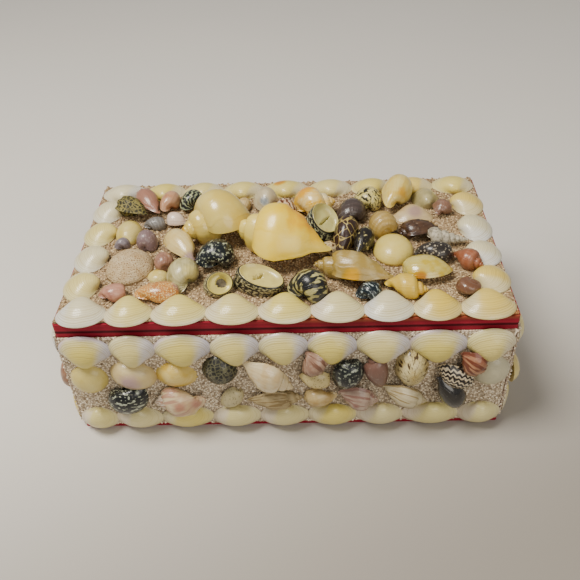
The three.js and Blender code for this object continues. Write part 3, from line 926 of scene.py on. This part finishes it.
def mouth_finish(name, pale, dark, deck, *marks):
    """A bowl with dark marks, a dark rim, and a pale lip and deck."""
    material, tree, shader, place = finish(name, 0.3, 0.4)
    inwards, around = growth_map(tree)
    colour = blend(tree, dark_marks(tree, ("dashes", *marks), around, inwards, place), dark, pale)
    edge = calc(tree, "ADD", inwards, calc(tree, "MULTIPLY", noise(tree, place, 300.0), 0.04))
    colour = blend(tree, ramp(tree, edge, 0.38, 0.42), colour, dark)
    inside = blend(tree, mottle(tree, place, 220.0), deck, "b9ab78", 0.5)
    colour = blend(tree, ramp(tree, edge, 0.46, 0.49), colour, inside)
    paint(tree, shader, rich(tree, colour))
    bump(tree, shader, noise(tree, place, 500.0), 0.2, 0.0004)
    return material


print("recipes ready")

# %% [markdown]
# ## Clam finish
# The clams are creamy yellow on their backs and fade to white at the margin, where some keep a lilac
# tinge. Fine rings mark their growth. Each clam has a tint of its own, stored with its mesh.

# %% Clam finish
def clam_finish(name, middle, margin, edge, flank, stain=None):
    """The colours of its back, of the band behind its margin, of the margin and of one of its ends."""
    material, tree, shader, place = finish(name, 0.37, 0.28)
    inwards, around = growth_map(tree)
    tint = add(tree, "Attribute", (), attribute_name="tint").outputs["Fac"]
    fine = use(tree, "growth_lines", {"Growth": inwards, "Count": 24.0, "Place": place})["Lines"]
    out = calc(tree, "ADD", inwards, calc(tree, "MULTIPLY", noise(tree, place, 110.0), 0.25))
    end = calc(tree, "SINE", calc(tree, "MULTIPLY", around, -math.tau))
    reach = calc(tree, "SUBTRACT", out, calc(tree, "MULTIPLY", calc(tree, "ABSOLUTE", end), 0.16))
    colour = blend(tree, ramp(tree, reach, 0.02, 0.4), margin, middle)
    rim = ramp(tree, calc(tree, "ADD", out, calc(tree, "MULTIPLY", tint, 0.1)), 0.1, 0.22)
    colour = blend(tree, rim, edge, colour)
    sideways = calc(tree, "MULTIPLY_ADD", tint, 0.3, end)
    side = calc(tree, "SUBTRACT", sideways, calc(tree, "MULTIPLY", out, 0.45))
    colour = blend(tree, ramp(tree, side, 0.35, 0.9, 0.0, 0.85), colour, flank)
    colour = blend(tree, tint, colour, "e6e0cc", 0.4)
    if stain:
        colour = stained(tree, place, colour, *stain)
    lines = calc(tree, "MULTIPLY", fine, ramp(tree, inwards, 0.0, 0.7, 0.4, 0.2))
    paint(tree, shader, rich(tree, blend(tree, lines, colour, "a08c58"), 1.34))
    bump(tree, shader, fine, 0.4, 0.0003)
    return material


STAIN = ((-4, 56, 88), 5, "c88a34")  # on the middle clam of the lid's back row
CLAMS = {
    "c": clam_finish("clam_cream", "dfd192", "e0d7a8", "e6dfc6", "e4dcc4"),
    "l": clam_finish("clam_lilac", "dacd90", "d9d2b0", "cfc2c6", "ceccda"),
    "w": clam_finish("clam_white", "ddd6b8", "e0ddcc", "e4e0d4", "e0e0de"),
    "g": clam_finish("clam_golden", "e0c87c", "dccb96", "e2d8b8", "e0d6b4"),
    "p": clam_finish("clam_pale", "dcd2a2", "dfd7b2", "e2dac2", "e2d8cc"),
    "s": clam_finish("clam_stained", "dfd192", "e0d7a8", "e6dfc6", "e4dcc4", STAIN),
}
print(len(CLAMS), "finishes for clams")

# %% [markdown]
# A row is made clam by clam along its line, each a little askew, and joined to one piece. The piece is
# then fitted to the room of its solid.

# %% A row of clams
def set_tint(obj, value):
    tint = obj.data.attributes.new("tint", "FLOAT", "POINT")
    tint.data.foreach_set("value", [value] * len(obj.data.vertices))


def clam_row(node, face, widths, start, end, line, margin, looks, height=20.5, bulge=7):
    """
    A row of clams along a face, each with its share of the way from start to end. line is where their
    margins lie. looks has a letter for each clam, and starts again when it runs out.
    """
    share = (end - start) / sum(widths)
    inward = -1 if margin in (0, -90) else 1
    across, at, row = line + inward * height / 2, start, []
    for i, width in enumerate(widths):
        middle, at = at + width * share / 2, at + width * share
        u, v = (middle, across) if margin in (0, 180) else (across, middle)
        askew = 5 * math.sin(5.3 * i + len(node))
        size = (width * share + 1.2, height, bulge)
        look = CLAMS[looks[i % len(looks)]]
        clam = set_shell(f"clam_{i}", "clam", face, u, v, margin + askew, size, look)
        set_tint(clam, (math.sin(3.7 * i + len(node)) + 1) / 2 * 0.6)
        row.append(clam)
    piece = one_piece(node.replace("_clams", "_row"), row, [node])
    fit(piece, *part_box(node))


print("ready to set rows")

# %% [markdown]
# ## The rows of clams
# Nine clams edge each long side and four or five each short one. Their margins point to the nearest edge
# of the box. They are of different widths, so each width is given. A letter picks each one's finish.

# %% Rows on the lid
clam_row("lid_front_clams", "lid", [25, 24, 28, 27, 27, 27, 25, 24, 27], -118, 118, -70.8, 180, "wccccpwgg")
clam_row("lid_back_clams", "lid", [26, 24, 24, 25, 27, 26, 24, 25, 24], -118, 118, 65.5, 0, "wcccsccgc")
clam_row("lid_left_clams", "lid", [27, 27, 26, 26], -50, 46, -120.5, 90, "cwcw")
clam_row("lid_right_clams", "lid", [23, 23, 27, 25], -50, 46, 120.5, -90, "gwwg")
print("26 clams on the lid")

# %% Rows on the walls
LONG_UPPER = [26, 23, 29, 25, 25, 25, 27, 29, 24]
LONG_LOWER = [20, 26, 29, 27, 27, 27, 26, 31, 23]
SHORT_ROW = [25, 28, 26, 27, 25]
for side, upper, lower, half, bulge in (
    ("front", LONG_UPPER, LONG_LOWER, 119, 7), ("back", LONG_UPPER[::-1], LONG_LOWER, 119, 7),
    ("left", SHORT_ROW, SHORT_ROW, 65.5, 5.5), ("right", SHORT_ROW, SHORT_ROW, 65.5, 5.5),
):
    upper_looks, lower_looks = ("llllllllc", "ppcppcppp") if side == "front" else ("ccgcw", "cgc")
    clam_row(f"{side}_upper_clams", side, upper, -half, half, 74.7, 0, upper_looks, bulge=bulge)
    clam_row(f"{side}_lower_clams", side, lower, -half, half, 1.2, 180, lower_looks, 19, bulge)
print("56 clams on the walls")

# %% [markdown]
# ## The shells on the lid
# Each shell gets its kind, the way its spire points, its length and width, its roll, its tilt, its colour
# slot and its finish. A shell with its mouth up has no roll, and says how deep it is sunk instead. The
# room of its solid gives the rest. Brown shells are the least vivid.

# %% Shells on the lid
NERITE = dict(roughness=0.3, coat=0.25, cloud=300.0)
LID = {
    "great_conch": ("conch", 161, 58, 45, 0, 6, "orange", dict(
        pale="f7e398", deep="f1d37c", tip="ead894", cloud=40.0, roughness=0.36, coat=0.3, lines=8.0,
        spots=[((9, -6, 100), 19, "e09c40"), ((-22, -36, 86), 10, "ebe2c8"), ((27, -25, 87), 6, "efe6d0")])),
    "moon_snail_cream": ("high_moon", 206, 42, 33, 0, 0, "cream", dict(
        pale="dfcf94", deep="d3bf80", cloud=60.0, roughness=0.28, coat=0.5, lines=10.0,
        spots=[((-59, -1, 93), 4, "c9a050")])),
    "spindle_whelk": ("whelk", 165, 44, 22, -10, 0, "orange", dict(
        pale="d8ceaa", deep="a08c60", cloud=260.0, spots=[((36, -43, 91), 6, "d8a858")], cords=9)),
    "cream_olive": ("olive", 125, 31, 16, 0, 0, "cream", dict(
        pale="e0d0a4", deep="d4be8c", coat=0.7, roughness=0.25, spots=[((-52, -22, 88), 6, "a8938e")])),
    "tall_egg_shell": ("olive", 70, 30, 19, 0, 0, "orange", dict(
        pale="e2d49e", deep="d8c080", coat=0.6,
        spots=[((73, 28, 96), 7, "cf9650"), ((74, 52, 98), 6, "d9d6cc")])),
    "amber_bubble": ("bubble", 190, 27, 19, 0, 0, "orange", dict(
        pale="d2c890", deep="c2ae6a", coat=0.9, roughness=0.2, spots=[((72, -43, 89), 5, "b0762a")])),
    "yellow_babylon": ("smooth_whelk", -10, 23, 15, 0, 0, "orange", dict(
        pale="e0cf92", deep="d6bc78", tip="c8a488", cords=7)),
    "orange_moon_snail": ("high_moon", 10, 26, 24, 0, 10, "orange", dict(
        pale="e9dab0", deep="e2bc70", coat=0.6, roughness=0.28,
        spots=[((9, 33, 101), 11, "de9c3c"), ((24, 30, 97), 5, "e8dcb8")])),
    "orange_cowrie": ("bubble", 10, 25, 14, 0, 0, "orange", dict(
        pale="c4926a", deep="ac785a", dark="dcc498", pattern=("net", 900, 0.1, 0.24), coat=0.7,
        spots=[((-55, -46, 90), 5, "8f6f74")])),
    "ribbed_whorl": ("ribbed", 100, 22, 18, -30, 0, "cream", dict(
        pale="c9c19c", deep="948b66", spots=[((-50, -39, 92), 6, "d8cc98")])),
    "cream_dome": ("dome", 0, 23, 26, 0, 0, "cream", dict(pale="e2d396", deep="dac786", cloud=90.0)),
    "corded_snail": ("corded", -70, 20, 17, 0, 0, "cream", dict(pale="d4c498", deep="a89268", cords=12)),
    "yellow_dome": ("dome", 0, 16, 22, 0, 0, "cream", dict(pale="dacd9c", deep="c8b678", cloud=90.0)),
    "striped_nerite": ("nerite", 20, 23, 21, -15, 0, "dark", dict(
        pale="c4bd92", deep="9c9670", dark="1c1d1e", pattern=("dashes", 20, 6, 0.53), **NERITE)),
    "round_black_nerite": ("nerite", 60, 23, 22, 0, 0, "dark", dict(
        pale="c0c4ac", deep="8f9484", dark="191d20", pattern=("dashes", 26, 22, 0.585), **NERITE)),
    "small_black_nerite": ("nerite", 30, 16, 13, -10, 0, "dark", dict(
        pale="c2cac6", deep="8f9a98", dark="1a2126", pattern=("dashes", 12, 30, 0.6), **NERITE)),
    "dotted_nerite": ("nerite", 10, 21, 15, 0, 0, "dark", dict(
        pale="b5ad9c", deep="8d8474", dark="2c2826", pattern=("dots", 560, 0.28, 0.36), roughness=0.3)),
    "capped_nerite": ("nerite", 45, 19, 18, 0, 0, "dark", dict(
        pale="d8ce9c", deep="c8bc84", dark="24231f", pattern=("dashes", 18, 22, 0.46), **NERITE)),
    "back_nerite": ("nerite", 80, 17, 15, -10, 0, "dark", dict(
        pale="b4b894", deep="848c78", dark="20221f", pattern=("zigzag", 15, 12, 0.6, 0.55), **NERITE)),
    "marbled_cone": ("cone", 75, 26, 15, 0, 10, "dark", dict(
        pale="c8ba8a", deep="b3a274", dark="352824", pattern=("net", 190, 0.02, 0.06), roughness=0.3)),
    "black_zigzag_cone": ("cone", 70, 22, 12, 0, 0, "dark", dict(
        pale="c4ba8c", deep="a8a080", dark="1d1a18", pattern=("dashes", 14, 14, 0.6), **NERITE)),
    "knobby_drupe": ("drupe", 200, 25, 15, 0, 0, "dark", dict(
        pale="5e4a3c", deep="33241e", cloud=300.0, spots=[((87, 7, 90), 4, "c4b078")])),
    "rough_drupe": ("drupe", 150, 25, 18, 0, 0, "dark", dict(
        pale="a49a6c", deep="6c6648", dark="2c2a1c", pattern=("net", 480, 0.04, 0.2), roughness=0.6,
        coat=0.0)),
    "dark_ribbed_snail": ("ribbed", 80, 21, 18, 0, 0, "brown", dict(pale="685a56", deep="403633", cords=14)),
    "orange_whelk": ("whelk", -40, 20, 14, 0, 0, "brown", dict(pale="bc8c74", deep="945f48", cords=8)),
    "brown_moon_snail": ("moon", 20, 13, 12, 0, 62, "brown", dict(
        pale="90705c", deep="6c4c3a", coat=0.5, cords=6)),
    "rose_valve": ("valve", 180, 25, 17, 0, 0, "brown", dict(
        pale="d0bc94", deep="bca47c", cloud=90.0, spots=[((77, 20, 88), 6, "a68c80")])),
    "rose_nassa": ("whelk", 60, 15, 13, 0, 0, "brown", dict(pale="a88672", deep="7a5c4c", cords=9)),
    "zigzag_nerite_small": ("nerite", -60, 18, 13, -10, 0, "brown", dict(
        pale="dccbb0", deep="c8a888", dark="5c3626", pattern=("zigzag", 14, 12, 0.7, 0.35), **NERITE)),
    "rust_cone": ("whelk", 125, 32, 14, 0, 0, "brown", dict(
        pale="bc947c", deep="987060", cords=6, spots=[((-93, 47, 95), 9, "a8705e")])),
    "rust_snail": ("moon", 80, 17, 13, 0, 0, "brown", dict(pale="c8a488", deep="b07c5c", coat=0.5)),
    "mauve_snail": ("nerite", -80, 15, 12, -30, 0, "brown", dict(
        pale="ac9694", deep="8e7876", dark="7e6868", pattern=("dots", 700, 0.2, 0.4), vivid=1.0)),
    "brown_nassa": ("ribbed", -70, 15, 12, -10, 0, "brown", dict(pale="b48e7c", deep="8c6858")),
    "pink_ribbed_snail": ("ribbed", 20, 16, 12, 0, 0, "brown", dict(pale="c89c88", deep="a07060")),
    "grey_cerith": ("cerith", -10, 24, 13, 0, 0, "grey", dict(
        pale="cbc4b2", deep="7d7668", cloud=600.0, roughness=0.6, coat=0.0)),
    "blue_grey_nerite": ("nerite", 110, 20, 15, -10, 0, "grey", dict(
        pale="ccc0a0", deep="b6a888", coat=0.4, vivid=1.1,
        spots=[((-13, 28, 93), 4, "848b8e"), ((-14, 42, 96), 3, "846c6a")])),
    "sandy_dome": ("limpet", 0, 27, 31, 0, 0, "sandy", dict(
        pale="d6c4a2", deep="c4aa84", dark="8f7350", pattern=("net", 850, 0.08, 0.34), roughness=0.8,
        coat=0.0, relief=0.8, vivid=1.1)),
    "green_clam": ("valve", 0, 17, 22, 0, 0, "pale", dict(
        pale="bcb084", deep="9c9268", cloud=90.0, vivid=1.1)),
}
MOUTHS = {
    "mouth_up_nerite_large": ("mouth_wide", 235, 19, 28, 17, 0.42, (
        "b4ac8a", "1e1d1b", "d4c88c", 44, 30, 0.54)),
    "mouth_up_nerite_small": ("mouth_open", 205, 17, 16, 42, 0.34, (
        "c5bc98", "211f1c", "d0c484", 34, 30, 0.5)),
    "slit_nerite": ("mouth_slit", 235, 21, 20, 30, 0.42, (
        "b4b898", "1e2021", "ccc690", 34, 30, 0.54)),
}


def on_lid(name, kind, turn, long, wide, material, slot, **pose):
    """A shell in the room of its solid on the lid."""
    low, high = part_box(name)
    x, y, _ = (low + high) / 2 / MM
    size = (long, wide, (high.z - low.z) / MM)
    shell = set_shell(name, kind, "lid", x, y, turn, size, material, **pose)
    fit(one_piece(name + "_shell", [shell], [name]), low, high)


for name, (kind, turn, long, wide, roll, tilt, slot, look) in LID.items():
    material = shell_finish(name, **{"vivid": 1.12 if slot == "brown" else 1.3, **look})
    slot += "_clam" if slot == "pale" else "_shell"
    on_lid(name, kind, turn, long, wide, material, slot, roll=roll, tilt=tilt)
for name, (kind, turn, long, wide, tilt, sink, look) in MOUTHS.items():
    on_lid(name, kind, turn, long, wide, mouth_finish(name, *look), "dark_shell", tilt=tilt, sink=sink)
print(len(LID) + len(MOUTHS), "shells on the lid")

# %% [markdown]
# Nine small shells lie deep in the sand, partly under the large ones. Each gets its kind, its place on
# the face, the way it points, its length, width and height, and its finish.

# %% Small shells on the lid
def bedded(label, face, rows, name, node):
    """One piece of shells that lie a millimetre deep in a bed. It shares the bed's solid with its sand."""
    shells = [
        set_shell(f"{label}_{i}", kind, face, u, v, turn, size, shell_finish(f"{label}_{i}", **look), deep=1)
        for i, (kind, u, v, turn, size, look) in enumerate(rows)
    ]
    one_piece(name, shells, [node])
    print(len(shells), "shells in", node)


SMALL = (
    ("nerite", -95, -2, 60, (9, 8, 7), dict(pale="a89c9c", deep="786c72", cords=8, vivid=0.9)),
    ("dome", -70, -30, 0, (12, 11, 4), dict(pale="e3d6a2", deep="d4c080")),
    ("nerite", 24, -12, 40, (13, 10, 8), dict(
        pale="c0a884", deep="ddcfae", dark="4c3626", pattern=("net", 420, 0.1, 0.3))),
    ("moon", -66, 20, 180, (13, 11, 9), dict(pale="ecdfd2", deep="ddc8b8", coat=0.6)),
    ("ribbed", -79, 17, 20, (13, 10, 8), dict(pale="a8a49c", deep="76726e", cords=12, vivid=0.9)),
    ("nerite", -10, 16, 30, (15, 13, 10), dict(pale="cfc6b0", deep="a89a80")),
    ("dome", 8, 13, 0, (13, 12, 6), dict(pale="d9cba0", deep="c4b080")),
    ("olive", -27, 33, 80, (16, 9, 8), dict(pale="d8c8a4", deep="bda478")),
    ("ribbed", -43, 33, 140, (15, 12, 9), dict(pale="c4a590", deep="a07c68", cords=10)),
)
bedded("small", "lid", SMALL, "small_lid_shells", "lid_sand_bed")

# %% [markdown]
# ## The shells on the front
# Between the two rows of clams on the front lie 21 shells of all sorts, close together.

# %% Shells on the front
FRONT = (
    ("dome", -108, 43, 0, (21, 21, 7), dict(pale="dccf9a", deep="cfbf86", cloud=90.0)),
    ("dome", -83, 46, -18, (26, 19, 9), dict(
        pale="d6c8a2", deep="c6b48e", cloud=90.0, spots=[((-84, -77, 46), 8, "b29a98")])),
    ("nerite", -88, 31, 250, (23, 22, 11.9), dict(
        pale="c6cab8", deep="8f9484", dark="17191a", pattern=("dashes", 22, 28, 0.58), **NERITE)),
    ("clam", -60, 45, 180, (24, 21, 8), dict(pale="e2d09a", deep="d2b878", coat=0.5)),
    ("whelk", -60, 27, 190, (29, 22, 11.9), dict(
        pale="d9cca8", deep="c8ac88", tip="d4c8b4", dark="b4907a", pattern=("dashes", 24, 3, 0.42), vivid=1.1,
        spots=[((-49, -77, 28), 6, "ac7c6c"), ((-59, -79, 29), 5, "b88a74"), ((-72, -77, 30), 5, "ddd2c4")])),
    ("limpet", -36, 48, 180, (20, 22, 8), dict(
        pale="6c6a56", deep="4a4836", dark="1e1e1a", pattern=("net", 420, 0.03, 0.18), roughness=0.5)),
    ("nerite", -31, 27, 70, (17, 12, 7), dict(
        pale="9c9068", deep="746a48", dark="b8ac84", vivid=1.05, pattern=("dots", 700, 0.22, 0.34))),
    ("smooth_whelk", -10, 46, -35, (34, 19, 11.9), dict(
        pale="e2d6b4", deep="d2ba90", coat=0.8, roughness=0.22, vivid=1.15,
        spots=[((0, -80, 40), 6, "b8926c")])),
    ("whelk", -7, 27, 5, (31, 14, 10), dict(
        pale="d2c09a", deep="a89670", dark="87734e", pattern=("dashes", 34, 4, 0.45), roughness=0.6, coat=0.0,
        cords=7, vivid=1.05)),
    ("whelk", 15, 55, -60, (19, 16, 11), dict(
        pale="b4967e", deep="93725e", dark="75513f", pattern=("dashes", 24, 3, 0.45), vivid=1.0)),
    ("corded", 15, 42, 0, (17, 13, 8), dict(
        pale="8a7844", deep="7a6838", dark="d0bf8c", pattern=("dots", 700, 0.2, 0.32), vivid=1.1)),
    ("drupe", 18, 28, 200, (19, 13, 9), dict(pale="ccb88a", deep="ac905e", vivid=1.1)),
    ("nerite", 33, 46, 90, (21, 17, 11), dict(
        pale="94988a", deep="70746a", dark="1a1d1e", pattern=("dashes", 20, 22, 0.57), **NERITE)),
    ("whelk", 39, 28, -15, (24, 18, 11), dict(
        pale="c4ae98", deep="a48a7a", dark="8f6a5c", pattern=("dashes", 20, 2, 0.47), vivid=1.0,
        spots=[((37, -79, 27), 3, "8f5c50")])),
    ("olive", 49, 46, 110, (24, 13, 9), dict(
        pale="8e6e5e", deep="705044", vivid=1.0, cords=3, spots=[((46, -77, 38), 2, "cdbaa8")])),
    ("ribbed_limpet", 67, 48, 0, (19, 27, 11), dict(
        pale="dacda0", deep="bca872", dark="4c3a24", pattern=("dashes", 5, 44, 0.42), vivid=1.1)),
    ("whelk", 64, 30, -25, (29, 15, 11.9), dict(
        pale="d2c8a6", deep="b8a888", dark="948058", pattern=("dashes", 22, 2, 0.42), vivid=1.1,
        spots=[((74, -79, 27), 4, "94806a")])),
    ("nerite", 90, 43, -25, (23, 15, 9), dict(
        pale="ded4c0", deep="cfc0a4", dark="1f1a18", pattern=("zigzag", 18, 18, 0.9, 0.5), **NERITE)),
    ("olive", 88, 32, -50, (26, 14, 11), dict(
        pale="221f1c", deep="141210", coat=0.7, roughness=0.16, vivid=1.0)),
    ("whelk", 99, 53, -40, (21, 16, 10), dict(
        pale="b88c6c", deep="8c5c48", dark="6c3c2c", pattern=("dashes", 16, 2, 0.5), coat=0.4, vivid=1.08)),
    ("dome", 110, 44, 0, (20, 22, 6), dict(pale="ccc6a8", deep="bab49a", cloud=90.0, vivid=1.1)),
)
bedded("front", "front", FRONT, "front_middle_shells", "front_sand_bed")

# %% [markdown]
# ## The plainer walls
# The other walls have fewer shells, set along a wavy line. Their kinds and their finishes take turns.

# %% Shells on the other walls
MIXED = ("nerite", "whelk", "dome", "olive", "limpet", "cerith")
COLOURS = (
    dict(pale="c8ccba", deep="8c9080", dark="1d2022", pattern=("zigzag", 14, 12, 0.7, 0.6), **NERITE),
    dict(pale="d8c49c", deep="b99a70", cords=7),
    dict(pale="e2d6a6", deep="d2c088", cloud=90.0),
    dict(pale="d4b48c", deep="b48a60", coat=0.6),
    dict(pale="8c8a78", deep="5c5e50", dark="2c2e2a", pattern=("net", 480, 0.08, 0.2)),
    dict(pale="c9c0ae", deep="8a8274", cloud=500.0),
    dict(pale="b6947a", deep="8c6852", cords=9, vivid=1.1),
)
PLAIN = [shell_finish(f"plain_{i}", **look) for i, look in enumerate(COLOURS)]
INSET = 13.5  # from the end of a wall to the middle of its first shell
for side, count, half in (("back", 15, 120), ("left", 7, 66.5), ("right", 7, 66.5)):
    pitch = 2 * (half - INSET) / (count - 1)
    mixed = []
    for i in range(count):
        kind, up = MIXED[i % len(MIXED)], 1 if i % 2 else -1
        u, v, turn = -half + INSET + i * pitch, 38 + 7 * up, 90 + 75 * up + 17 * i
        long = 24 + 3 * math.sin(2.4 * i + half)
        size, look = (long, 0.72 * long, 0.44 * long), PLAIN[(i * 3 + 2) % len(PLAIN)]
        mixed.append(set_shell(f"{side}_{i}", kind, side, u, v, turn, size, look, deep=1))
    one_piece(f"{side}_middle_shells", mixed, [f"{side}_sand_bed"])
    print(len(mixed), "shells in", f"{side}_sand_bed")

# %% [markdown]
# The kinds were only there to be copied. They are taken away, so that nothing lies inside the box.

# %% Taking the kinds away
for master in KINDS.values():
    bpy.data.objects.remove(master)
print(len(KINDS), "kinds taken away")
